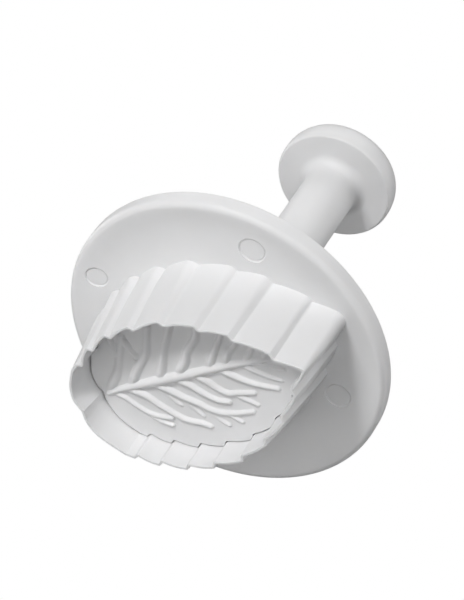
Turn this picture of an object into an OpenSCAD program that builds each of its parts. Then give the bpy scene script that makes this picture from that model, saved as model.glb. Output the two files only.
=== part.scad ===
// Plunger cutter in the shape of a serrated rose leaf, millimetres.
// Z up along the plunger, cutting edge on z = 0, leaf tip towards +X.

/* [Flange] */
// Outside diameter of the saucer flange
flange_d = 64.6; // [62:0.2:75]
// Height of the flange floor above the cutting edge
floor_z = 15.5; // [15:0.5:18]
// Wall thickness of the saucer
flange_t = 2; // [1.8:0.1:2.2]
// How far the rolled rim stands below the floor
rim_drop = 0.85; // [0.4:0.05:1.2]
// Height of the rim's top edge above the middle of the floor
rim_h = 3.5; // [3.4:0.1:4.5]

/* [Leaf cup] */
// Width of the flat cutting edge
edge_w = 0.5; // [0.4:0.05:0.6]
// Outward lean of the cup wall over its height
draft = 2.25; // [1:0.25:2.5]
// Radius on the tooth corners at the cutting edge
tooth_r = 0.3; // [0.2:0.05:0.4]

/* [Embosser plate] */
// Running gap between plate and cup wall
plate_gap = 0.2; // [0.15:0.05:0.3]
// How far the plate face rests inside the cutting edge
recess = 6; // [5.5:0.5:6.5]
// Thickness of the plate
plate_t = 2.2; // [1.8:0.2:2.6]
// Height of the side veins
vein_h = 0.8; // [0.3:0.1:0.9]
// Height of the middle vein
rib_h = 0.9; // [0.5:0.1:1]

/* [Plunger] */
// Diameter of the stem rod
stem_d = 5.5; // [5:0.5:6]
// Diameter of the knob shank
shank_d = 10.8; // [10.4:0.2:11.2]
// Diameter of the knob
knob_d = 24.4; // [23.6:0.2:30]
// Height of the knob top above the cutting edge
knob_top = 74.6; // [73:0.2:78]

/* [Guide tube and spring] */
// Outside diameter of the guide tube
tube_d = 15; // [14.4:0.2:16]
// Height of the guide tube top
tube_top = 44; // [42:1:46]
// Wire thickness of the spring
wire_d = 0.9; // [0.7:0.1:1]
// Number of open coils in the spring
coils = 7; // [5:1:7]

/* [Hidden] */

white = [0.93, 0.93, 0.93];
steel = [0.72, 0.73, 0.75];

crown_z = 15;                    // inner face of the cup's crown
back_z = floor_z + flange_t + 0.1;  // back of the flange round the tube
stop_z = 28.5;                   // shoulder in the tube, bottom stop
shank_z = 36;                    // lower end of the shank at rest
bore_r = shank_d / 2 + 0.08;     // guide bore
pocket_r = shank_d / 2 - 0.4;    // spring pocket below the shoulder
spring_r = pocket_r - 0.2 - wire_d / 2;
knob_z = knob_top - 5.6;         // flat underside of the knob's disc
cap_z = knob_top - 1.6;          // seat of the cap
face_z = recess;

// ---- leaf outline -------------------------------------------------------

// Tooth corners from the tip to the base: numbers 0 to 7 on the +Y side, and
// 10 to 17 on the -Y side, given mirrored. The tip is -1 and 9.
corner = [[21.5, 5], [16, 10], [9.5, 14], [2.5, 16.5],
          [-4.5, 16.8], [-10.5, 16], [-16, 14], [-20.5, 11.4]];
other = [[21.5, 5], [15.3, 10.6], [9.4, 14], [2.5, 16.5],
         [-4.5, 16.8], [-10.5, 16.2], [-16, 14.3], [-20.5, 11.5]];
tip = [26.6, 0];
function num(i) = i < 9 ? i : i - 10;
function at(i) = num(i) < 0 ? tip : i < 9 ? corner[i] : other[i - 10];
// Round base of the leaf, each side of the shallow cusp.
lobe_a = [[-22.1, 10.2], [-23.7, 8], [-25, 6], [-25.9, 4],
          [-26.25, 2.2], [-26.2, 0.6]];
cusp = [-25.75, -1.1];
lobe_b = [[-26, -2.6], [-26.05, -4.2], [-25.4, -6.2], [-24.4, -7.9],
          [-22.5, -10.2]];
// The same curve at the plate, where the base wall has grown thicker.
deep_a = [[-21.7, 9.6], [-23, 7.6], [-23.9, 5.7], [-24.35, 3.9],
          [-24.5, 2.2], [-24.45, 0.6]];
deep_cusp = [-24, -1];
deep_b = [[-24.4, -2.4], [-24.3, -4.1], [-23.8, -5.9], [-22.8, -7.6],
          [-21.4, -9.7]];

function unit(v) = v / norm(v);
function dir(a) = [cos(a), sin(a)];
function ang(v) = atan2(v[1], v[0]);
function step_a(i) = -86 + 9.5 * num(i);      // from a corner to its notch
function step_l(i) = 1.45 - 0.05 * num(i);    // depth of the step
function flip(p) = [for (i = [len(p) - 1:-1:0]) [p[i][0], -p[i][1]]];

// Long edge that starts at corner i and runs to the next notch: a flat arc.
function to(i) = num(i) < 7 ? at(i + 1) + step_l(i + 1) * dir(step_a(i + 1))
                            : lobe_a[1];
function chord(i) = norm(to(i) - at(i));
function bulge(i) = num(i) < 0 ? 0.2 : num(i) < 7 ? 0.28 : 0.1;
function arc_r(i) = chord(i) * chord(i) / 8 / bulge(i);
function turn(i) = asin(chord(i) / 2 / arc_r(i));
function out(i) = ang(to(i) - at(i)) - 90;     // outward normal of the chord
function arc_c(i) = (at(i) + to(i)) / 2
                    - (arc_r(i) - bulge(i)) * dir(out(i));
function nrm(a) = a < 0 ? a + 360 : a;
function edge_a(i) = nrm(out(i)) - turn(i);    // normal at the corner end

// The wall leans out less towards the tip, and towards the base each corner
// slides along its own edge as the wall leans.
function fan(i, d) = d > 0 ? d * min(1, 0.66 + 0.13 * max(0, num(i))) : d;
function slide(i, d) = d * min(0.35, 0.12 * max(0, num(i) - 2))
    * dir(edge_a(i) + 90);

// Rounded corner i: circle inside the corner, from the step to the edge. On
// the -Y side the round grows as the wall leans out.
function side_a(i) = step_a(i) + 90;
function half(i) = (edge_a(i) - side_a(i)) / 2;
function round_at(i, d) = i < 9 ? tooth_r - max(0, fan(i, d)) : tooth_r;
function ball(i, d) = at(i) + slide(i, d)
    - round_at(i, d) / cos(half(i)) * dir((edge_a(i) + side_a(i)) / 2);

// Notch below corner i with the wall leaned out by d.
function notch(i, d) =
    let (u = dir(step_a(i)),
         p = at(i) + slide(i, d) + fan(i, d) * dir(side_a(i)),
         w = p - arc_c(i - 1),
         b = w * u,
         c = w * w - pow(arc_r(i - 1) + fan(i - 1, d), 2),
         q = -b - sqrt(max(0, b * b - c)),
         t = max(q, round_at(i, d) * tan(half(i)) + 0.05))
    p + t * u;

function tooth(i, d) = concat(
    [notch(i, d)],
    [for (k = [0:5]) ball(i, d) + (round_at(i, d) + fan(i, d))
        * dir(side_a(i) + (edge_a(i) - side_a(i)) * k / 5)],
    num(i) < 7 ? [for (f = [0.22, 0.36, 0.5, 0.65])
        arc_c(i) + (arc_r(i) + fan(i, d)) * dir(edge_a(i) + 2 * turn(i) * f)] : []);

// Tip: a small round between its two long edges; i is -1 or 9.
tip_r = 0.7;
tip_c = [tip[0] - tip_r / cos(edge_a(-1)), 0];
function tip_half(i, d) = concat(
    [for (k = [0:3]) tip_c + (tip_r + fan(i, d)) * dir(edge_a(i) * k / 3)],
    [for (f = [0.25, 0.5, 0.7])
        arc_c(i) + (arc_r(i) + fan(i, d)) * dir(edge_a(i) + 2 * turn(i) * f)]);
function side(i, d) = concat(tip_half(i, d),
                             [for (k = [1:8]) for (q = tooth(i + k, d)) q]);

// Lobes: smooth curve through the points, leaned out along its normal.
function curve(p, i, t) =
    let (a = p[max(i - 1, 0)], b = p[i], c = p[i + 1],
         e = p[min(i + 2, len(p) - 1)])
    0.5 * (2 * b + (c - a) * t + (2 * a - 5 * b + 4 * c - e) * t * t
           + (3 * b - a - 3 * c + e) * t * t * t);
function fine(p) = concat([for (i = [0:len(p) - 2]) for (t = [0, 0.5])
                           curve(p, i, t)], [p[len(p) - 1]]);
function lean(p, d) = [for (i = [0:len(p) - 1])
    let (v = unit(p[min(i + 1, len(p) - 1)] - p[max(i - 1, 0)]))
    p[i] + d * [v[1], -v[0]]];

function base(a, c, b, d) = concat(lean(fine(a), d), [c + d * [-1.03, 0]],
                                   lean(fine(b), d));
function outline(d) =
    let (up = side(-1, d), dn = flip(side(9, d)))
    concat(up, base(lobe_a, cusp, lobe_b, d),
           [for (i = [0:len(dn) - 2]) dn[i]]);

// Solid through rings of equal length, listed upwards.
module stack(rings) {
    m = len(rings[0]);
    n = len(rings) - 1;
    polyhedron(
        points = [for (r = rings) for (p = r) p],
        faces = concat(
            [[for (i = [0:m - 1]) i]],
            [[for (i = [m - 1:-1:0]) n * m + i]],
            [for (k = [0:n - 1]) for (i = [0:m - 1]) for (h = [0, 1])
                let (j = (i + 1) % m, a = k * m)
                h == 0 ? [a + i, a + m + i, a + j]
                       : [a + j, a + m + i, a + m + j]]),
        convexity = 8);
}

// Leaned wall as one solid: the same outline at each height.
module leaned(z0, z1, n) {
    stack([for (k = [0:n]) let (z = z0 + (z1 - z0) * k / n)
           [for (p = outline(draft * z / floor_z)) [p[0], p[1], z]]]);
}

module leaf(inset) {
    offset(delta = -inset) polygon(outline(0));
}

// Everything on the tip side of a curve along the base.
function ahead(c) = concat([[40, -30], [40, 30], [-16, 30]], c, [[-16, -30]]);

// The cup's hollow: the base wall leans in as far as the plate's face.
module hollow() {
    edge = ahead(base(lobe_a, cusp, lobe_b, 0.04 - edge_w));
    seat = ahead(base(deep_a, deep_cusp, deep_b, plate_gap));
    intersection() {
        translate([0, 0, -2]) linear_extrude(crown_z + 2) leaf(edge_w);
        stack([for (z = [-4, 0, face_z, crown_z + 4])
               [for (k = [0:len(edge) - 1])
                   let (q = z < face_z ? edge[k] : seat[k]) [q[0], q[1], z]]]);
    }
}

// The plate's outline, brought in by d.
module plate_leaf(d) {
    intersection() {
        leaf(edge_w + plate_gap + d);
        polygon(ahead(base(deep_a, deep_cusp, deep_b, -d)));
    }
}

// ---- cutter body ---------------------------------------------------------

R = flange_d / 2;
roll = 1.2;                       // radius of the rim's outer corner
crest = R - roll;
top_z = floor_z + rim_h;          // top edge of the rim

// Height of the floor at radius r: a shallow dish that turns to the rim.
function ease(t) = let (u = min(1, max(0, t))) u * u * (3 - 2 * u);
function front_z(r) = floor_z + 0.6 * ease((r - 10) / 12)
    - rim_drop * exp(-pow(max(0, crest - r) / 3.6, 1.5));
function behind_z(r) = max(back_z, front_z(r) + flange_t);

module flange() {
    in_r = R - flange_t;          // inside of the rim
    rotate_extrude($fn = 96) polygon(concat(
        [[0, floor_z], [10, floor_z]],
        [for (k = [1:15]) let (r = 10 + (crest - 10) * k / 16)
            [r, front_z(r)]],
        [for (k = [0:6]) [crest, front_z(crest) + roll]
            + roll * dir(-90 + 15 * k)],
        [for (k = [0:3]) [R - 0.35, top_z - 0.35] + 0.35 * dir(30 * k)],
        [for (k = [3:6]) [in_r + 0.3, top_z - 0.3] + 0.3 * dir(30 * k)],
        [for (k = [0:3]) [in_r - 0.3, behind_z(in_r - 0.3) + 0.3]
            + 0.3 * dir(-27 * k)],
        [for (k = [0:8]) let (r = in_r - 0.6 - (in_r - 14.6) * k / 8)
            [r, behind_z(r)]],
        [[12, back_z], [0, back_z]]));
}

module tube() {
    r = tube_d / 2;
    rotate_extrude($fn = 96) polygon(concat(
        [[0, back_z - 1], [r + 2.6, back_z - 1]],
        [for (k = [0:5]) [r + 2.6 - 2.5 * sin(18 * k),
                          back_z + 2.5 - 2.5 * cos(18 * k)]],
        [[r - 0.1, tube_top - 1.2], [r - 0.4, tube_top - 0.4],
         [r - 1, tube_top], [0, tube_top]]));
}

module cutter_body() {
    color(white) difference() {
        union() {
            flange();
            tube();
            leaned(-1, floor_z + 0.9, 4);
        }
        translate([-60, -60, -10]) cube([120, 120, 10]);
        hollow();
        // stem hole, spring pocket, guide bore
        translate([0, 0, 10]) cylinder(r = stem_d / 2 + 0.06, h = 20, $fn = 64);
        translate([0, 0, back_z]) cylinder(r = pocket_r, h = 40, $fn = 96);
        translate([0, 0, stop_z]) cylinder(r = bore_r, h = 40, $fn = 96);
        translate([0, 0, tube_top - 0.6])
            cylinder(r1 = bore_r, r2 = bore_r + 0.8, h = 0.8, $fn = 96);
    }
}

// ---- embosser plate ------------------------------------------------------

// A vein: tapered stroke along a line of points, widths a to b.
function stroke(p, a, b) =
    let (n = len(p) - 1,
         w = [for (i = [0:n]) (a + (b - a) * i / n) / 2],
         v = [for (i = [0:n]) unit(p[min(i + 1, n)] - p[max(i - 1, 0)])])
    concat([p[0] - 0.5 * w[0] * v[0]],
           [for (i = [0:n]) p[i] + w[i] * [v[i][1], -v[i][0]]],
           [p[n] + 0.7 * w[n] * v[n]],
           [for (i = [n:-1:0]) p[i] - w[i] * [v[i][1], -v[i][0]]]);

rib_line = [[-22.6, -1.1], [-20, -1.1], [-14, -1.1], [-8, -1.1], [0, -1.1],
            [8, -0.9], [16, -0.6], [24, -0.1]];

// Side veins, each a line of points from the middle vein or from a fork.
// First the -Y half from the base to the tip, then the +Y half.
veins = [
    [[-22, -1], [-20.5, -2.4], [-17.6, -5.3], [-15.2, -8.6], [-12.4, -11.4]],
    [[-15, -9], [-15.8, -10.6], [-15.8, -12]],
    [[-17, -1], [-15.4, -2.4], [-12, -5.5], [-9.5, -7.6], [-7.6, -10],
     [-5.2, -12.4]],
    [[-11.5, -6], [-11.9, -8], [-12, -9.6]],
    [[-10.2, -1], [-8.6, -2], [-5.6, -6.4], [-2.8, -9.8], [0.4, -12],
     [2, -14]],
    [[-5.4, -1], [-3.8, -2], [-1, -5.6], [2, -7.4], [4.2, -10.2],
     [6, -12.6]],
    [[1.4, -1], [3, -2], [5, -4.4], [8, -7], [10.4, -10]],
    [[5.4, -1], [7, -2], [10.4, -4.6], [13.4, -7.6]],
    [[10, -1], [11.6, -1.9], [13.6, -3.8], [16, -6]],
    [[13.4, -0.8], [14.8, -1.4], [17, -3], [19, -4.4]],
    [[-21, -0.8], [-20.1, 0.2], [-18.9, 3], [-16.9, 5.4], [-14.4, 6.8],
     [-12.3, 7.9]],
    [[-16.9, 6.6], [-15.5, 8.5], [-13.2, 9.6]],
    [[-18, -0.8], [-17, 0.2], [-15.5, 1.4], [-14.5, 3.2], [-12.7, 5.2],
     [-10.8, 7.3], [-9.5, 9.1], [-7.1, 10.2], [-5.2, 11.5]],
    [[-11.4, -0.8], [-10.1, 0.4], [-7.5, 3.2], [-4.6, 6], [-3.2, 7.5],
     [-1.6, 8.5], [1, 9.3], [5.4, 9.9], [7.6, 9.9]],
    [[-10, 3], [-9.3, 4.5], [-9, 6.4]],
    [[-6.9, 6.4], [-6.4, 7.6], [-5.5, 8.7]],
    [[-0.6, 9.4], [0.9, 10.4], [1.9, 11.5]],
    [[-2.9, 10.3], [-1.8, 11.4], [-1.2, 12.1]],
    [[-6.4, -0.8], [-5.3, 0.3], [-3.3, 2.1], [-2.2, 3.8], [-0.9, 5.2],
     [0.7, 6], [2.1, 6.7]],
    [[-2, -0.8], [-1, 0.3], [1.5, 2.3], [3.1, 4], [5, 5.2], [8, 5.7]],
    [[4, 4.9], [5.2, 6.6], [6.5, 8.1]],
    [[4.4, -0.8], [5.6, 0.2], [8.6, 3.1], [13.9, 6.2]],
    [[9.2, -0.8], [10.4, 0.2], [12.5, 3], [15.1, 5]],
    [[13, -0.6], [14.2, 0.2], [15.6, 1.7], [17.4, 2.6]]];

module embosser_plate() {
    color(white) difference() {
        union() {
            translate([0, 0, face_z]) linear_extrude(plate_t) plate_leaf(0);
            translate([0, 0, face_z - rib_h]) linear_extrude(rib_h + 0.5)
                intersection() {
                    polygon(stroke(rib_line, 2.2, 1));
                    plate_leaf(0.15);
                }
            translate([0, 0, face_z - vein_h]) linear_extrude(vein_h + 0.5)
                intersection() {
                    union() for (v = veins) polygon(stroke(v, 1.5, 1.1));
                    plate_leaf(0.15);
                }
            // boss for the stem, its top rests on the crown
            translate([0, 0, face_z + plate_t - 0.5])
                cylinder(r = stem_d / 2 + 2.25,
                         h = crown_z - face_z - plate_t + 0.5, $fn = 64);
            // stiffening ribs on the back
            translate([-18, -0.6, face_z + plate_t - 0.5])
                cube([36, 1.2, 3]);
            for (x = [-10, 0, 10])
                translate([x - 0.6, -11, face_z + plate_t - 0.5])
                    cube([1.2, 22, 3]);
        }
        translate([0, 0, face_z + 2.5])
            cylinder(r = stem_d / 2, h = 20, $fn = 64);
    }
}

// ---- plunger -------------------------------------------------------------

module plunger_stem() {
    z0 = face_z + 2.5;
    z1 = knob_z + 1.5;
    r = stem_d / 2;
    color(white) rotate_extrude($fn = 64)
        polygon([[0, z0], [r - 0.4, z0], [r, z0 + 0.4], [r, z1 - 0.4],
                 [r - 0.4, z1], [0, z1]]);
}

module plunger_knob() {
    r = shank_d / 2;
    k = knob_d / 2;
    fil = 2.2;                    // hollow curve from shank to disc
    low = 0.4;                    // round of the disc's lower edge
    mid = [0.25, 1.2];            // swell of its side above that
    high = [1.6, 3.8];            // round of its upper edge
    color(white) difference() {
        rotate_extrude($fn = 96) polygon(concat(
            [[0, shank_z], [r - 0.3, shank_z], [r, shank_z + 0.5]],
            [for (n = [0:8]) [r + fil - fil * cos(n * 90 / 8),
                              knob_z - fil + fil * sin(n * 90 / 8)]],
            [for (n = [0:4]) [k - mid[0] - low, knob_z + low]
                + low * dir(18 * n - 90)],
            [for (n = [2:5]) [k - mid[0] + mid[0] * sin(18 * n),
                              knob_z + low + mid[1] - mid[1] * cos(18 * n)]],
            [for (n = [0:6]) [k - high[0] + high[0] * cos(15 * n),
                              knob_top - high[1] + high[1] * sin(15 * n)]],
            [[0, knob_top]]));
        translate([0, 0, shank_z - 1])
            cylinder(r = stem_d / 2, h = knob_z + 2.5 - shank_z, $fn = 64);
        // seat of the cap and the cored hollow under it
        translate([0, 0, cap_z]) cylinder(r = k - 3.4, h = 5, $fn = 96);
        translate([0, 0, knob_z + 1.5]) difference() {
            cylinder(r = k - 4.6, h = 10, $fn = 96);
            translate([0, 0, -1]) cylinder(r = stem_d / 2 + 2.2, h = 12,
                                           $fn = 64);
        }
    }
}

module knob_cap() {
    k = knob_d / 2 - 3.4;
    color(white) union() {
        translate([0, 0, cap_z]) rotate_extrude($fn = 96) polygon(concat(
            [[0, 0], [k, 0], [k, 1.2]],
            [for (n = [1:6]) [k * cos(n * 15), 1.2 + 1.1 * sin(n * 15)]]));
        // skirt that grips the hollow
        translate([0, 0, cap_z - 1.8]) difference() {
            cylinder(r = k - 1.2, h = 2, $fn = 96);
            translate([0, 0, -1]) cylinder(r = k - 2.4, h = 4, $fn = 96);
        }
    }
}

// ---- return spring -------------------------------------------------------

module return_spring() {
    z0 = back_z + wire_d / 2;
    h = shank_z - back_z - wire_d;
    turns = coils + 2;
    lead = wire_d + 0.06;         // closed end coils lie side by side
    pitch = (h - 2 * lead) / coils;
    n = 20;
    m = 8;
    steps = turns * n;
    // height of the wire after t turns
    function hz(t) = t < 1 ? lead * t
        : t > turns - 1 ? h - lead * (turns - t)
        : lead + pitch * (t - 1);
    color(steel) polyhedron(
        points = [for (s = [0:steps]) let (a = 360 * s / n, z = z0 + hz(s / n))
            for (k = [0:m - 1]) let (b = 360 * (k + 0.5) / m,
                q = spring_r + wire_d / 2 * cos(b))
            [q * cos(a), q * sin(a), z + wire_d / 2 * sin(b)]],
        faces = concat(
            [[for (k = [0:m - 1]) k]],
            [[for (k = [m - 1:-1:0]) steps * m + k]],
            [for (s = [0:steps - 1]) for (k = [0:m - 1]) for (g = [0, 1])
                let (a = s * m + k, b = s * m + (k + 1) % m)
                g == 0 ? [a, a + m, b] : [b, a + m, b + m]]),
        convexity = 10);
}

cutter_body();
embosser_plate();
plunger_stem();
return_spring();
plunger_knob();
knob_cap();
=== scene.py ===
import math

import bpy
import numpy as np
from mathutils import Matrix, Vector


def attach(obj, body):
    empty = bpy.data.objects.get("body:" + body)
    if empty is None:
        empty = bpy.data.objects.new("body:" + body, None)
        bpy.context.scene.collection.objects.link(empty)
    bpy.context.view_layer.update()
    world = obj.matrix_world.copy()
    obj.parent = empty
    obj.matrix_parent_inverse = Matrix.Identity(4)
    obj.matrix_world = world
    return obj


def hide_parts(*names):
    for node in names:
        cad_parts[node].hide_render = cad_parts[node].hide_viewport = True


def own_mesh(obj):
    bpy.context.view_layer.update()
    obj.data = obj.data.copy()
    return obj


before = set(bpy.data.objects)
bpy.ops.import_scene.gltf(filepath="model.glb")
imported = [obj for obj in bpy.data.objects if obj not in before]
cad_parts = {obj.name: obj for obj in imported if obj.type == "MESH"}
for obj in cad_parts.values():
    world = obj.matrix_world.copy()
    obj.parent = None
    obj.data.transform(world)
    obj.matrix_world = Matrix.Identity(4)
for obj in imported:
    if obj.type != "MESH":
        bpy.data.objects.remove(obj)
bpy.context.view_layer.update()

MM = 0.001

# ---------------------------------------------------------------------------
# Leaf outline, the same construction as in the CAD part
# ---------------------------------------------------------------------------
# Corners 0 to 7 are on the +Y side and 10 to 17 on the -Y side, given mirrored; the tip is -1 and 9
CORNER = [(21.5, 5), (16, 10), (9.5, 14), (2.5, 16.5),
          (-4.5, 16.8), (-10.5, 16), (-16, 14), (-20.5, 11.4)]
OTHER = [(21.5, 5), (15.3, 10.6), (9.4, 14), (2.5, 16.5),
         (-4.5, 16.8), (-10.5, 16.2), (-16, 14.3), (-20.5, 11.5)]
TIP = (26.6, 0)
LOBE_A = [(-22.1, 10.2), (-23.7, 8), (-25, 6), (-25.9, 4), (-26.25, 2.2), (-26.2, 0.6)]
CUSP = (-25.75, -1.1)
LOBE_B = [(-26, -2.6), (-26.05, -4.2), (-25.4, -6.2), (-24.4, -7.9), (-22.5, -10.2)]
# The same base curve at the plate, where the wall has grown thicker
DEEP_A = [(-21.7, 9.6), (-23, 7.6), (-23.9, 5.7), (-24.35, 3.9), (-24.5, 2.2), (-24.45, 0.6)]
DEEP_CUSP = (-24, -1)
DEEP_B = [(-24.4, -2.4), (-24.3, -4.1), (-23.8, -5.9), (-22.8, -7.6), (-21.4, -9.7)]
DRAFT, FLOOR_Z, CROWN_Z, BACK_Z = 2.25, 15.5, 15.0, 17.6
EDGE, GAP, FACE_Z, PLATE_T = 0.5, 0.2, 6.0, 2.2


def V(p):
    return np.array(p, float)


def dirv(a):
    return np.array([math.cos(math.radians(a)), math.sin(math.radians(a))])


def num(i):
    return i if i < 9 else i - 10


def at(i):
    return V(TIP) if num(i) < 0 else V(CORNER[i]) if i < 9 else V(OTHER[i - 10])


def step_a(i):
    return -86 + 9.5 * num(i)


def step_l(i):
    return 1.45 - 0.05 * num(i)


def edge_to(i):
    return at(i + 1) + step_l(i + 1) * dirv(step_a(i + 1)) if num(i) < 7 else V(LOBE_A[1])


def chord(i):
    return float(np.linalg.norm(edge_to(i) - at(i)))


def bulge(i):
    return 0.2 if num(i) < 0 else 0.28 if num(i) < 7 else 0.1


def arc_r(i):
    return chord(i) ** 2 / 8 / bulge(i)


def turn(i):
    return math.degrees(math.asin(chord(i) / 2 / arc_r(i)))


def out(i):
    d = edge_to(i) - at(i)
    return math.degrees(math.atan2(d[1], d[0])) - 90


def arc_c(i):
    return (at(i) + edge_to(i)) / 2 - (arc_r(i) - bulge(i)) * dirv(out(i))


def edge_a(i):
    a = out(i)
    return (a + 360 if a < 0 else a) - turn(i)


def side_a(i):
    return step_a(i) + 90


def half(i):
    return (edge_a(i) - side_a(i)) / 2


def fan(i, d):
    """The wall leans out less towards the tip."""
    return d * min(1.0, 0.66 + 0.13 * max(0, num(i))) if d > 0 else d


def slide(i, d):
    """Towards the base each corner slides along its own edge as the wall leans."""
    return max(0.0, d) * min(0.35, 0.12 * max(0, num(i) - 2)) * dirv(edge_a(i) + 90)


def round_at(i, d, r):
    """On the +Y side the round stays small; on the -Y side it grows as the wall leans out."""
    return r - max(0.0, fan(i, d)) if i < 9 else r


def notch(i, d, r):
    u = dirv(step_a(i))
    p = at(i) + slide(i, d) + fan(i, d) * dirv(side_a(i))
    w = p - arc_c(i - 1)
    b = float(w @ u)
    c = float(w @ w) - (arc_r(i - 1) + fan(i - 1, d)) ** 2
    q = -b - math.sqrt(max(0.0, b * b - c))
    return p + max(q, round_at(i, d, r) * math.tan(math.radians(half(i))) + 0.04) * u


def tooth(i, d, r, fillet, n=9):
    """Rounded notch below corner i, then the rounded corner and the edge that starts there."""
    q, e = round_at(i, d, r), fan(i, d)
    ball = (at(i) + slide(i, d)
            - q / math.cos(math.radians(half(i))) * dirv((edge_a(i) + side_a(i)) / 2))
    p0, p1 = notch(i, d, r), ball + (q + e) * dirv(side_a(i))
    a1, a2 = edge_a(i - 1) + 2 * turn(i - 1), side_a(i)
    k = math.tan(math.radians((a1 - a2) / 2))
    rho = max(0.02, min(fillet, 0.9 * float(np.linalg.norm(p1 - p0)) / k))
    c = p0 + rho / math.cos(math.radians((a1 - a2) / 2)) * dirv((a1 + a2) / 2)
    pts = [c - rho * dirv(a1 + (a2 - a1) * k / 6) for k in range(7)]
    for k in range(n):
        pts.append(ball + (q + e) * dirv(side_a(i) + (edge_a(i) - side_a(i)) * k / (n - 1)))
    if num(i) < 7:
        start = 0.4 * max(0.0, d) / chord(i)
        for f in (0.08, 0.17, 0.27, 0.37, 0.46, 0.55, 0.64, 0.72):
            f = start + f * (0.97 - start)
            pts.append(arc_c(i) + (arc_r(i) + e) * dirv(edge_a(i) + 2 * turn(i) * f))
    return pts


def side(i, d, r, tr, fillet):
    """Half of the outline from the tip; i is -1 for the +Y side and 9 for the -Y side."""
    e = fan(i, d)
    c = np.array([TIP[0] - tr / math.cos(math.radians(edge_a(-1))), 0.0])
    pts = [c + (tr + e) * dirv(edge_a(i) * k / 6) for k in range(7)]
    for f in (0.12, 0.25, 0.37, 0.5, 0.62, 0.72):
        pts.append(arc_c(i) + (arc_r(i) + e) * dirv(edge_a(i) + 2 * turn(i) * f))
    return pts + [q for k in range(1, 9) for q in tooth(i + k, d, r, fillet)]


def spline(p, per):
    p = [V(q) for q in p]
    res = []
    for i in range(len(p) - 1):
        a, b, c, e = p[max(i - 1, 0)], p[i], p[i + 1], p[min(i + 2, len(p) - 1)]
        for k in range(per):
            t = k / per
            res.append(0.5 * (2 * b + (c - a) * t + (2 * a - 5 * b + 4 * c - e) * t * t
                              + (3 * b - a - 3 * c + e) * t ** 3))
    res.append(p[-1])
    return res


def lean(p, d):
    res = []
    for i in range(len(p)):
        v = p[min(i + 1, len(p) - 1)] - p[max(i - 1, 0)]
        v = v / np.linalg.norm(v)
        res.append(p[i] + d * np.array([v[1], -v[0]]))
    return res


def base_curve(la, cusp, lb, d):
    return lean(spline(la, 5), d) + [V(cusp) + d * np.array([-1.03, 0])] + lean(spline(lb, 5), d)


def outline(d, r=0.32, tr=0.7, fillet=0.12, base=None):
    up = side(-1, d, r, tr, fillet * (0.4 if d > 0 else 1))
    dn = [np.array([q[0], -q[1]]) for q in reversed(side(9, d, r, tr, fillet))]
    return np.array(up + (base_curve(LOBE_A, CUSP, LOBE_B, d) if base is None else base) + dn[:-1])


def inner(d, s, gap, fillet=0.5):
    """Outline moved in by d; s runs from 0 at the cutting edge to 1 at the plate."""
    edge, deep = base_curve(LOBE_A, CUSP, LOBE_B, -d), base_curve(DEEP_A, DEEP_CUSP, DEEP_B, gap)
    return outline(-d, d + 0.15, d + 0.6, fillet, [a + (b - a) * s for a, b in zip(edge, deep)])


# ---------------------------------------------------------------------------
# Mesh helpers
# ---------------------------------------------------------------------------
def mesh_object(name, verts_mm, faces):
    me = bpy.data.meshes.new(name)
    me.from_pydata([tuple(v) for v in (np.asarray(verts_mm, float) * MM)], [], faces)
    me.validate()
    me.update()
    o = bpy.data.objects.new(name, me)
    bpy.context.scene.collection.objects.link(o)
    return o


def stack(name, rings):
    """Closed solid from rings of equal length, listed upwards in Z, each anticlockwise from above."""
    m = len(rings[0])
    verts = [p for r in rings for p in r]
    faces = [list(range(m))[::-1]]
    for k in range(len(rings) - 1):
        a = k * m
        for i in range(m):
            j = (i + 1) % m
            faces.append((a + i, a + j, a + m + j, a + m + i))
    faces.append([(len(rings) - 1) * m + i for i in range(m)])
    return mesh_object(name, verts, faces)


def ring(pts, z):
    return [(p[0], p[1], z) for p in pts]


def lathe(name, prof, n=240):
    """Closed profile (r, z), anticlockwise with r to the right; points on the axis have r = 0."""
    verts, idx = [], []
    for r, z in prof:
        if r < 1e-9:
            idx.append([len(verts)] * n)
            verts.append((0, 0, z))
        else:
            idx.append(list(range(len(verts), len(verts) + n)))
            for k in range(n):
                a = 2 * math.pi * k / n
                verts.append((r * math.cos(a), r * math.sin(a), z))
    faces = []
    for i in range(len(prof)):
        j = (i + 1) % len(prof)
        if prof[i][0] < 1e-9 and prof[j][0] < 1e-9:
            continue
        for k in range(n):
            l = (k + 1) % n
            q = [idx[i][k], idx[i][l], idx[j][l], idx[j][k]]
            f = []
            for v in q:
                if v not in f:
                    f.append(v)
            faces.append(tuple(f))
    return mesh_object(name, verts, faces)


def boolean(a, b, op):
    mod = a.modifiers.new("cut", "BOOLEAN")
    mod.operation = op
    mod.object = b
    mod.solver = "MANIFOLD"
    dg = bpy.context.evaluated_depsgraph_get()
    me = bpy.data.meshes.new_from_object(a.evaluated_get(dg))
    a.modifiers.clear()
    old = a.data
    a.data = me
    bpy.data.meshes.remove(old)
    bpy.data.objects.remove(b)
    return a


def smooth(o, angle):
    o.data.polygons.foreach_set("use_smooth", [True] * len(o.data.polygons))
    o.data.set_sharp_from_angle(angle=math.radians(angle))
    o.data.update()


def arc(cx, cz, r, a0, a1, n, rz=None):
    rz = r if rz is None else rz
    return [(cx + r * math.cos(math.radians(a0 + (a1 - a0) * k / n)),
             cz + rz * math.sin(math.radians(a0 + (a1 - a0) * k / n))) for k in range(n + 1)]


# ---------------------------------------------------------------------------
# Cutter body: saucer flange, guide tube, leaned serrated wall
# ---------------------------------------------------------------------------
R = 32.3
ROLL, RIM_DROP, TOP_Z = 1.2, 0.85, 19.0
CREST = R - ROLL
TUBE_R, TUBE_TOP, BORE_R, POCKET_R, STOP_Z = 7.5, 44.0, 5.48, 5.0, 28.5


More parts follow.
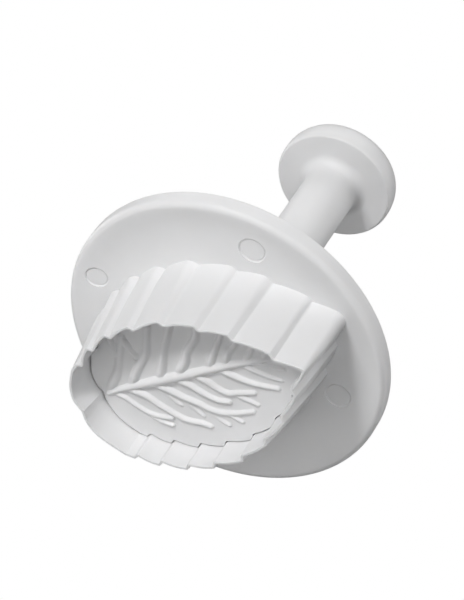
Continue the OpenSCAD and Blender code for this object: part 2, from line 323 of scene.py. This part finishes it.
def front_z(r):
    u = min(1.0, max(0.0, (r - 10) / 12))
    return FLOOR_Z + 0.6 * u * u * (3 - 2 * u) - RIM_DROP * math.exp(-(max(0.0, CREST - r) / 3.6) ** 1.5)


def behind_z(r):
    return max(BACK_Z, front_z(r) + 2)


def body_profile():
    p = [(0, FLOOR_Z), (5, FLOOR_Z), (10, FLOOR_Z)]
    p += [(10 + (CREST - 10) * k / 50, front_z(10 + (CREST - 10) * k / 50)) for k in range(1, 50)]
    p += arc(CREST, front_z(CREST) + ROLL, ROLL, -90, 0, 16)
    p += arc(R - 0.4, TOP_Z - 0.4, 0.4, 0, 90, 9)
    p += arc(R - 1.65, TOP_Z - 0.35, 0.35, 90, 180, 9)
    p += arc(R - 2.4, behind_z(R - 2.4) + 0.4, 0.4, 0, -81, 9)
    p += [(r, behind_z(r)) for r in np.arange(R - 2.8, 14, -0.5)]
    p += [(12, BACK_Z)]
    p += [(TUBE_R + 2.6 - 2.5 * math.sin(math.radians(a)), BACK_Z + 2.5 - 2.5 * math.cos(math.radians(a)))
          for a in range(0, 91, 9)]
    p += [(TUBE_R + 0.02, 32)]
    p += arc(TUBE_R - 0.8, TUBE_TOP - 0.8, 0.8, 0, 90, 9)
    p += arc(BORE_R + 0.55, TUBE_TOP - 0.4, 0.4, 90, 150, 6)
    p += [(BORE_R, TUBE_TOP - 1.0), (BORE_R, STOP_Z), (POCKET_R, STOP_Z), (POCKET_R, BACK_Z), (0, BACK_Z)]
    return p


body = lathe("cutter_body_shown", body_profile(), 288)
rings = [ring(outline(dd), z) for z, dd in [(0.0, -0.07), (0.02, -0.03), (0.07, 0.0)]]
rings += [ring(outline(DRAFT * z / FLOOR_Z, r=0.32 + 0.2 * z / FLOOR_Z, fillet=0.12 + 0.7 * z / FLOOR_Z), z)
          for z in np.linspace(0.6, FLOOR_Z + 0.9, 24)]
body = boolean(body, stack("wall", rings), "UNION")
rings = [ring(inner(dd, max(0.0, z) / FACE_Z, GAP), z)
         for z, dd in [(-1.0, EDGE - 0.35), (0.0, EDGE - 0.06), (0.03, EDGE - 0.02), (0.08, EDGE), (2, EDGE), (4, EDGE)]]
rings += [ring(inner(EDGE, 1.0, GAP), z) for z in (FACE_Z, 9, 12, CROWN_Z)]
body = boolean(body, stack("cavity", rings), "DIFFERENCE")
body = boolean(body, lathe("hole", [(0, 14), (2.81, 14), (2.81, 19), (0, 19)], 96), "DIFFERENCE")


def dip(name, cx, cy, radius, depth):
    """Tool that sinks a round of the floor by depth, with a fine groove inside its border."""
    n, m = 72, 36
    verts, faces = [], []
    for off in (depth, -2.0):
        for k in range(m + 1):
            for i in range(n):
                a, q = 2 * math.pi * i / n, radius * (k + 0.001) / (m + 0.001)
                x, y = cx + q * math.cos(a), cy + q * math.sin(a)
                groove = 0.16 * math.exp(-((q - radius + 0.24) / 0.13) ** 2) if off > 0 else 0.0
                verts.append((x, y, front_z(math.hypot(x, y)) + off + groove))
    t = (m + 1) * n
    for k in range(m):
        for i in range(n):
            j = (i + 1) % n
            a, b, c, d = k * n + i, k * n + j, (k + 1) * n + j, (k + 1) * n + i
            faces.append((a, d, c, b))
            faces.append((t + a, t + b, t + c, t + d))
    for i in range(n):
        j = (i + 1) % n
        faces.append((m * n + i, t + m * n + i, t + m * n + j, m * n + j))
    faces.append([i for i in range(n)])
    faces.append([t + i for i in range(n)][::-1])
    return mesh_object(name, verts, faces)


for mx, my, mr in [(-18.8, -20, 2.35), (17, -17.7, 2.75), (17, 16.2, 2.75), (-18.8, 20, 2.5)]:
    body = boolean(body, dip("mark", mx, my, mr, 0.2), "DIFFERENCE")
smooth(body, 17)

# ---------------------------------------------------------------------------
# Embosser plate: veins in relief
# ---------------------------------------------------------------------------
RIB_A = [(-22.8, -0.5), (-21, -0.65), (-19, -0.8), (-15, -0.85), (-10, -0.8)]
RIB_B = [(-10, -0.8), (-5, -0.8), (0, -0.85), (8, -0.85), (16, -0.5), (24.5, -0.1)]
# points, width at start and end, height at start and end
VEINS = [
    ([(-21.9, -1.2), (-21.2, -1.9), (-19.2, -3.4), (-17.4, -5.3), (-15.8, -7.3), (-14.1, -9.4), (-12.4, -11.6)], 1.9, 1.6, 0.6, 0.65),
    ([(-15.9, -7), (-15.7, -8.6), (-15.4, -12)], 1.5, 1.6, 0.7, 0.7),
    ([(-16.2, -1.4), (-15.2, -2.4), (-13.3, -4.2), (-11, -5.9), (-9.1, -7.6), (-7.2, -10.3), (-5.6, -12.6)], 2.1, 1.6, 0.8, 0.65),
    ([(-11.2, -5.7), (-11.9, -7), (-12.3, -8.6), (-12.6, -10.8)], 1.6, 1.6, 0.8, 0.6),
    ([(-9.8, -1.2), (-8.8, -2.2), (-7.1, -4.4), (-5.4, -6.8), (-4, -8.4), (-2.8, -9.6), (-1, -11.6), (0.6, -13.6)], 2.1, 1.5, 0.85, 0.65),
    ([(-4.9, -1.3), (-3.9, -2.2), (-1.9, -3.9), (-0.5, -5.6), (1.1, -6.8), (2.7, -7.9), (3.8, -9), (4.8, -10.6), (6, -12.4)], 2.1, 1.4, 0.85, 0.65),
    ([(2.2, -1.4), (3.2, -2.4), (5.1, -4.3), (7, -6.1), (8.6, -7.6), (10.4, -9.8)], 1.9, 1.3, 0.8, 0.6),
    ([(5.8, -1.3), (6.8, -2.3), (8.3, -3.8), (10.2, -4.9), (13, -7.2)], 1.8, 1.2, 0.75, 0.5),
    ([(10.6, -1), (11.6, -1.8), (12.9, -2.9), (15.8, -5.8)], 1.5, 1.0, 0.6, 0.4),
    ([(13.8, -0.6), (14.7, -1.1), (15.8, -1.9), (18.4, -4)], 1.2, 0.9, 0.5, 0.35),
    ([(-22, -0.4), (-21.2, 0), (-19.8, 1.1), (-18.6, 2.9), (-17.5, 4.4), (-16.2, 5.8), (-14.5, 6.8), (-12.2, 7.6)], 1.3, 1.2, 0.45, 0.6),
    ([(-16.8, 5.6), (-16.1, 6.8), (-14.8, 8), (-13, 9.2)], 1.1, 1.1, 0.35, 0.6),
    ([(-18.2, -0.6), (-17.2, 0), (-14.9, 1.7), (-13.4, 4), (-11.8, 6), (-10.2, 7.9), (-8.6, 9.1), (-6.5, 10), (-5, 11.1)], 1.9, 1.3, 0.7, 0.6),
    ([(-11.8, -0.6), (-10.9, 0.1), (-9, 1.7), (-6.9, 3.8), (-4.7, 5.6), (-3.2, 7.2), (-0.9, 8.7), (2.4, 9.5), (5.8, 9.8)], 2.0, 1.2, 0.75, 0.5),
    ([(-10, 3.1), (-9.4, 4.2), (-8.5, 5.3)], 1.1, 0.9, 0.35, 0.3),
    ([(-6.6, 6.2), (-5.8, 7.4), (-5.2, 8.6)], 1.1, 1.0, 0.25, 0.4),
    ([(-2.8, 9.4), (-2.1, 10.2), (-0.9, 11.6)], 1.1, 1.1, 0.25, 0.45),
    ([(0, 9), (1.1, 10.2), (2.3, 11.5)], 1.1, 1.1, 0.35, 0.45),
    ([(-6.7, -0.6), (-5.7, 0.1), (-4.2, 1.3), (-2.8, 3.1), (-1.2, 4.9), (0.4, 6.1), (2.1, 6.7)], 1.9, 1.3, 0.75, 0.6),
    ([(-2.2, -0.6), (-1.3, 0.1), (0.1, 1.5), (1.3, 3.3), (2.9, 4.8), (5.3, 5.3), (8.5, 5.9)], 1.9, 1.2, 0.75, 0.5),
    ([(4, 5.2), (5.1, 6.3), (6.5, 7.4), (7.7, 8.6)], 1.3, 1.1, 0.45, 0.4),
    ([(4, -0.6), (4.9, 0.2), (6.6, 1.7), (8.8, 3.5), (11.4, 4.9), (14, 6)], 1.8, 1.2, 0.75, 0.5),
    ([(9.2, -0.6), (10, 0.1), (11.7, 1.6), (13.5, 3.1), (15.6, 4.5)], 1.5, 1.0, 0.6, 0.4),
    ([(12.4, -0.6), (13.3, -0.1), (14.8, 1.1), (17.5, 2.5)], 1.2, 0.9, 0.5, 0.35),
]


def stroke_height(X, Y, pts, w0, w1, h0, h1, power, rise=0.0, per=6):
    """Rounded ridge along a line; with rise, it starts low and is full after that many millimetres."""
    p = np.array(spline(pts, per))
    seg = np.linalg.norm(np.diff(p, axis=0), axis=1)
    s = np.concatenate([[0], np.cumsum(seg)])
    length = s[-1]
    s /= length
    best = np.zeros_like(X)
    for k in range(len(p) - 1):
        a, b = p[k], p[k + 1]
        d = b - a
        t = np.clip(((X - a[0]) * d[0] + (Y - a[1]) * d[1]) / (d @ d), 0, 1)
        dist = np.hypot(X - a[0] - t * d[0], Y - a[1] - t * d[1])
        q = s[k] + (s[k + 1] - s[k]) * t
        w = (w0 + (w1 - w0) * q) / 2
        h = h0 + (h1 - h0) * q
        if rise:
            e = np.clip(q * length / rise, 0, 1)
            h = h * (0.3 + 0.7 * e * e * (3 - 2 * e))
        u = np.clip(dist / w, 0, 1)
        best = np.maximum(best, h * (1 - u ** power))
    return best


STEP = 0.16
xs = np.arange(-27.0, 27.0 + STEP / 2, STEP)
ys = np.arange(-17.4, 17.4 + STEP / 2, STEP)
X, Y = np.meshgrid(xs, ys, indexing="ij")
H4 = stroke_height(X, Y, RIB_A, 1.0, 2.4, 0.55, 0.95, 2.2) ** 4
H4 = np.maximum(H4, stroke_height(X, Y, RIB_B, 2.4, 1.0, 0.95, 0.5, 2.2) ** 4)
for pts, w0, w1, h0, h1 in VEINS:
    H4 += stroke_height(X, Y, pts, w0, w1, h0, h1, 2.0, 2.0) ** 4
H = H4 ** 0.25
# Hollows where two forks enclose a drop of the face: points, width at start and end, depth at start and end
POCKETS = [([(-12.0, -10.5), (-12.2, -8.5), (-12.1, -6.6)], 1.1, 1.7, 0.5, 0.95), ([(-15.7, -11.6), (-15.6, -10.4), (-15.6, -9.3)], 1.0, 1.4, 0.4, 0.75)]
for pts, w0, w1, h0, h1 in POCKETS:
    H -= stroke_height(X, Y, pts, w0, w1, h0, h1, 2.0) * np.clip(1 - H / 0.5, 0, 1)
nx, ny = X.shape
verts = [(X[i, j], Y[i, j], FACE_Z - H[i, j]) for i in range(nx) for j in range(ny)]
faces = []
for i in range(nx - 1):
    for j in range(ny - 1):
        a = i * ny + j
        faces.append((a, a + 1, a + ny + 1, a + ny))
base = len(verts)
edge_idx = ([i * ny for i in range(nx)] + [(nx - 1) * ny + j for j in range(1, ny)]
            + [i * ny + ny - 1 for i in range(nx - 2, -1, -1)] + [j for j in range(ny - 2, 0, -1)])
for e in edge_idx:
    verts.append((verts[e][0], verts[e][1], FACE_Z + PLATE_T))
m = len(edge_idx)
for k in range(m):
    l = (k + 1) % m
    faces.append((edge_idx[k], edge_idx[l], base + l, base + k))
faces.append([base + k for k in range(m)])
plate = mesh_object("embosser_plate_shown", verts, faces)
PI = EDGE + GAP
prism = [(2.0, 0.08), (FACE_Z, 0.08), (FACE_Z + 0.08, 0.0), (FACE_Z + PLATE_T - 0.1, 0.0), (FACE_Z + PLATE_T + 1, 0.0)]
plate = boolean(plate, stack("trim", [ring(inner(PI + dd, 1.0, -dd - 0.12), z) for z, dd in prism]), "INTERSECT")
zb = FACE_Z + PLATE_T
boss = lathe("boss", [(0, zb - 0.4), (5, zb - 0.4), (5, CROWN_Z - 0.3), (4.7, CROWN_Z), (0, CROWN_Z)], 96)
plate = boolean(plate, boss, "UNION")


def block(name, x0, x1, y0, y1, z0, z1, b=0.25):
    r0 = [(x0, y0), (x1, y0), (x1, y1), (x0, y1)]
    r1 = [(x0 + b, y0 + b), (x1 - b, y0 + b), (x1 - b, y1 - b), (x0 + b, y1 - b)]
    return stack(name, [ring(r0, z0), ring(r0, z1 - b), ring(r1, z1)])


plate = boolean(plate, block("rib", -18, 18, -0.6, 0.6, zb - 0.3, zb + 2.5), "UNION")
for x in (-10, 0, 10):
    plate = boolean(plate, block("rib", x - 0.6, x + 0.6, -11, 11, zb - 0.3, zb + 2.5), "UNION")
plate = boolean(plate, lathe("socket", [(0, 8.5), (2.75, 8.5), (2.75, 16), (0, 16)], 96), "DIFFERENCE")
smooth(plate, 34)

# ---------------------------------------------------------------------------
# Knob, cap, stem and spring
# ---------------------------------------------------------------------------
SH, KR, KZ, KT, CAPZ, STEM_R, SHANK_Z = 5.4, 12.2, 69.0, 74.6, 73.0, 2.75, 36.0


def knob_profile():
    low = SHANK_Z + 0.03  # a hair above the shoulder when the plunger is pressed home
    p = [(STEM_R + 0.25, low), (SH - 0.3, low), (SH - 0.08, low + 0.2), (SH, low + 0.6)]
    p += [(SH + 2.2 - 2.2 * math.cos(math.radians(a)), KZ - 2.2 + 2.2 * math.sin(math.radians(a)))
          for a in range(0, 91, 5)]
    p += arc(KR - 0.65, KZ + 0.4, 0.4, -90, -12, 8)
    p += arc(KR - 0.25, KZ + 1.6, 0.25, -60, -6, 6, 1.2)
    p += arc(KR - 1.6, KT - 3.8, 1.6, 0, 90, 16, 3.8)
    p += [(9.1, KT), (8.92, KT - 0.08), (8.82, KT - 0.25), (8.82, CAPZ), (7.6, CAPZ), (7.6, KZ + 1.5), (STEM_R + 2.2, KZ + 1.5),
          (STEM_R + 2.2, CAPZ), (0, CAPZ), (0, KZ + 1.5), (STEM_R, KZ + 1.5), (STEM_R, low + 0.25)]
    return p


knob = lathe("plunger_knob_shown", knob_profile(), 240)
smooth(knob, 32)
cap = lathe("knob_cap_shown",
            [(0, CAPZ + 0.02), (6.4, CAPZ + 0.02), (6.4, CAPZ - 1.8), (7.4, CAPZ - 1.8), (7.6, CAPZ - 1.5), (7.6, CAPZ), (8.8, CAPZ)]
            + [(8.8, CAPZ + 1.05)]
            + [(8.65 * math.cos(math.radians(a)) + 0.07, CAPZ + 1.2 + 1.1 * math.sin(math.radians(a))) for a in range(6, 90, 6)]
            + [(0, CAPZ + 2.3)], 240)
smooth(cap, 32)

WIRE, COILS = 0.45, 7
SPR_R = POCKET_R - 0.2 - WIRE
turns = COILS + 2
h_all = SHANK_Z - BACK_Z - 2 * WIRE
lead = 2 * WIRE + 0.06
pitch = (h_all - 2 * lead) / COILS


def wire_z(t):
    if t < 1:
        return lead * t
    if t > turns - 1:
        return h_all - lead * (turns - t)
    return lead + pitch * (t - 1)


verts, faces = [], []
NS, MS = 48, 14
steps = turns * NS
for s in range(steps + 1):
    a = 2 * math.pi * s / NS
    z = BACK_Z + WIRE + wire_z(s / NS)
    for k in range(MS):
        b = 2 * math.pi * k / MS
        q = SPR_R + WIRE * math.cos(b)
        verts.append((q * math.cos(a), q * math.sin(a), z + WIRE * math.sin(b)))
for s in range(steps):
    for k in range(MS):
        a, b = s * MS + k, s * MS + (k + 1) % MS
        faces.append((a, a + MS, b + MS, b))
faces.append(list(range(MS)))
faces.append([steps * MS + k for k in range(MS)][::-1])
spring = mesh_object("return_spring_shown", verts, faces)
smooth(spring, 50)

# ---------------------------------------------------------------------------
# Materials
# ---------------------------------------------------------------------------
def new_material(name):
    mat = bpy.data.materials.new(name)
    mat.use_nodes = True
    nt = mat.node_tree
    return mat, nt, nt.nodes["Principled BSDF"]


def plastic(name, tint):
    mat, nt, p = new_material(name)
    N, L = nt.nodes, nt.links
    tc = N.new("ShaderNodeTexCoord")
    n1 = N.new("ShaderNodeTexNoise")
    n1.inputs["Scale"].default_value = 90
    n1.inputs["Detail"].default_value = 3
    L.new(tc.outputs["Object"], n1.inputs["Vector"])
    ramp = N.new("ShaderNodeValToRGB")
    ramp.color_ramp.elements[0].position = 0.3
    ramp.color_ramp.elements[0].color = (tint[0] * 0.975, tint[1] * 0.975, tint[2] * 0.975, 1)
    ramp.color_ramp.elements[1].position = 0.7
    ramp.color_ramp.elements[1].color = (*tint, 1)
    L.new(n1.outputs["Fac"], ramp.inputs["Fac"])
    L.new(ramp.outputs["Color"], p.inputs["Base Color"])
    n2 = N.new("ShaderNodeTexNoise")
    n2.inputs["Scale"].default_value = 420
    n2.inputs["Detail"].default_value = 4
    L.new(tc.outputs["Object"], n2.inputs["Vector"])
    mr = N.new("ShaderNodeMapRange")
    mr.inputs["To Min"].default_value = 0.38
    mr.inputs["To Max"].default_value = 0.5
    L.new(n2.outputs["Fac"], mr.inputs["Value"])
    L.new(mr.outputs["Result"], p.inputs["Roughness"])
    n3 = N.new("ShaderNodeTexNoise")
    n3.inputs["Scale"].default_value = 2600
    n3.inputs["Detail"].default_value = 2
    L.new(tc.outputs["Object"], n3.inputs["Vector"])
    bump = N.new("ShaderNodeBump")
    bump.inputs["Strength"].default_value = 0.12
    bump.inputs["Distance"].default_value = 0.00003
    L.new(n3.outputs["Fac"], bump.inputs["Height"])
    L.new(bump.outputs["Normal"], p.inputs["Normal"])
    p.inputs["IOR"].default_value = 1.46
    p.inputs["Specular IOR Level"].default_value = 0.4
    p.inputs["Subsurface Weight"].default_value = 0.12
    p.inputs["Subsurface Radius"].default_value = (1.0, 0.9, 0.8)
    p.inputs["Subsurface Scale"].default_value = 0.0012
    return mat


white = plastic("white_plastic", (0.76, 0.76, 0.765))

steel, nt, p = new_material("spring_steel")
tc = nt.nodes.new("ShaderNodeTexCoord")
nz = nt.nodes.new("ShaderNodeTexNoise")
nz.inputs["Scale"].default_value = 1500
nt.links.new(tc.outputs["Object"], nz.inputs["Vector"])
mr = nt.nodes.new("ShaderNodeMapRange")
mr.inputs["To Min"].default_value = 0.22
mr.inputs["To Max"].default_value = 0.38
nt.links.new(nz.outputs["Fac"], mr.inputs["Value"])
nt.links.new(mr.outputs["Result"], p.inputs["Roughness"])
rp = nt.nodes.new("ShaderNodeValToRGB")
rp.color_ramp.elements[0].color = (0.55, 0.56, 0.58, 1)
rp.color_ramp.elements[1].color = (0.7, 0.71, 0.73, 1)
nt.links.new(nz.outputs["Fac"], rp.inputs["Fac"])
nt.links.new(rp.outputs["Color"], p.inputs["Base Color"])
p.inputs["Metallic"].default_value = 1.0

for o, mat in ((body, white), (plate, white), (knob, white), (cap, white), (spring, steel)):
    o.data.materials.clear()
    o.data.materials.append(mat)
for name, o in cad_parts.items():
    o.data.materials.clear()
    o.data.materials.append(steel if name == "return_spring" else white)

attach(body, "cutter")
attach(spring, "cutter")
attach(plate, "plunger")
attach(knob, "plunger")
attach(cap, "plunger")
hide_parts("cutter_body")
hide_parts("embosser_plate")
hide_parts("plunger_knob")
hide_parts("knob_cap")
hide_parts("return_spring")
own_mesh(spring)

# ---------------------------------------------------------------------------
# Camera at the photograph's viewing angle, floor and light
# ---------------------------------------------------------------------------
EYE = Vector((338.5, -221.4, -375.8)) * MM
RIGHT = Vector((0.78207, 0.47394, 0.40466))
DOWN = Vector((-0.17923, 0.79295, -0.58233))
FWD = Vector((-0.59686, 0.38290, 0.70508))
cam_data = bpy.data.cameras.new("camera")
cam_data.sensor_fit = "VERTICAL"
cam_data.sensor_height = 36.0
cam_data.lens = 3003 * 36 / 600
cam_data.clip_start = 0.01
cam = bpy.data.objects.new("camera", cam_data)
m3 = Matrix((RIGHT, -DOWN, -FWD)).transposed()
cam.matrix_world = Matrix.Translation(EYE) @ m3.to_4x4()
bpy.context.scene.collection.objects.link(cam)
bpy.context.scene.camera = cam

floor = mesh_object("floor", [(-6000, -6000, -900), (6000, -6000, -900), (6000, 6000, -900), (-6000, 6000, -900)], [(0, 1, 2, 3)])
fm, nt, p = new_material("floor")
p.inputs["Base Color"].default_value = (0.9, 0.9, 0.9, 1)
p.inputs["Roughness"].default_value = 0.8
pale = nt.nodes.new("ShaderNodeEmission")
pale.inputs["Color"].default_value = (0.95, 0.95, 0.95, 1)
pale.inputs["Strength"].default_value = 0.66
seen_by = nt.nodes.new("ShaderNodeLightPath")
both = nt.nodes.new("ShaderNodeMixShader")
nt.links.new(seen_by.outputs["Is Camera Ray"], both.inputs["Fac"])
nt.links.new(p.outputs["BSDF"], both.inputs[1])
nt.links.new(pale.outputs["Emission"], both.inputs[2])
nt.links.new(both.outputs["Shader"], nt.nodes["Material Output"].inputs["Surface"])
floor.data.materials.append(fm)

world = bpy.data.worlds.new("world")
bpy.context.scene.world = world
world.use_nodes = True
wn, wl = world.node_tree.nodes, world.node_tree.links
bg = wn["Background"]
bg.inputs["Color"].default_value = (1, 1, 1, 1)
bg.inputs["Strength"].default_value = 0.02
seen = wn.new("ShaderNodeBackground")
seen.inputs["Color"].default_value = (1, 1, 1, 1)
seen.inputs["Strength"].default_value = 1.0
ray = wn.new("ShaderNodeLightPath")
mix = wn.new("ShaderNodeMixShader")
wl.new(ray.outputs["Is Camera Ray"], mix.inputs["Fac"])
wl.new(bg.outputs["Background"], mix.inputs[1])
wl.new(seen.outputs["Background"], mix.inputs[2])
wl.new(mix.outputs["Shader"], wn["World Output"].inputs["Surface"])
bpy.context.scene.view_settings.view_transform = "Standard"

CENTRE = Vector((0, 0, 0.03))


def area(name, direction, dist, size, power):
    d = Vector(direction).normalized()
    data = bpy.data.lights.new(name, "AREA")
    data.shape = "DISK"
    data.size = size
    data.energy = power
    o = bpy.data.objects.new(name, data)
    o.location = CENTRE + d * dist
    o.rotation_euler = (-d).to_track_quat("-Z", "Y").to_euler()
    bpy.context.scene.collection.objects.link(o)
    return o


UP, LEFT, TOWARD = -DOWN, -RIGHT, -FWD
# name, direction in the camera's right, up and toward axes, diameter in metres, watts
RIG = [("key", (-0.35, 0.45, 0.82), 0.18, 5.7), ("key_left", (-0.5, 0.4, 0.77), 0.18, 3.0),
       ("right", (0.57, 0.21, 0.8), 0.18, 1.0), ("front", (0.24, 0.32, 0.92), 0.6, 2.5),
       ("low", (-0.32, -0.89, 0.32), 0.6, 4.7), ("left_low", (-0.77, -0.6, 0.2), 0.6, 1.4),
       ("right_side", (0.98, 0.0, 0.1), 0.6, 1.2), ("top_right", (0.67, 0.74, 0.11), 0.6, 1.1),
       ("top", (0.2, 0.95, -0.2), 0.6, 2.4), ("right_back", (0.95, 0.0, -0.32), 0.6, 2.0),
       ("right_low_back", (0.78, -0.44, -0.44), 0.6, 2.4), ("top_right_back", (0.52, 0.76, -0.39), 0.6, 1.2),
       ("top_back", (-0.27, 0.84, -0.46), 0.6, 1.4), ("left_back", (-0.8, 0.28, -0.54), 0.6, 3.7),
       ("left_low_back", (-0.9, -0.32, -0.28), 0.6, 1.4)]
for name, (r, u, t), size, power in RIG:
    area(name, RIGHT * r + UP * u + TOWARD * t, 1.2, size, power)
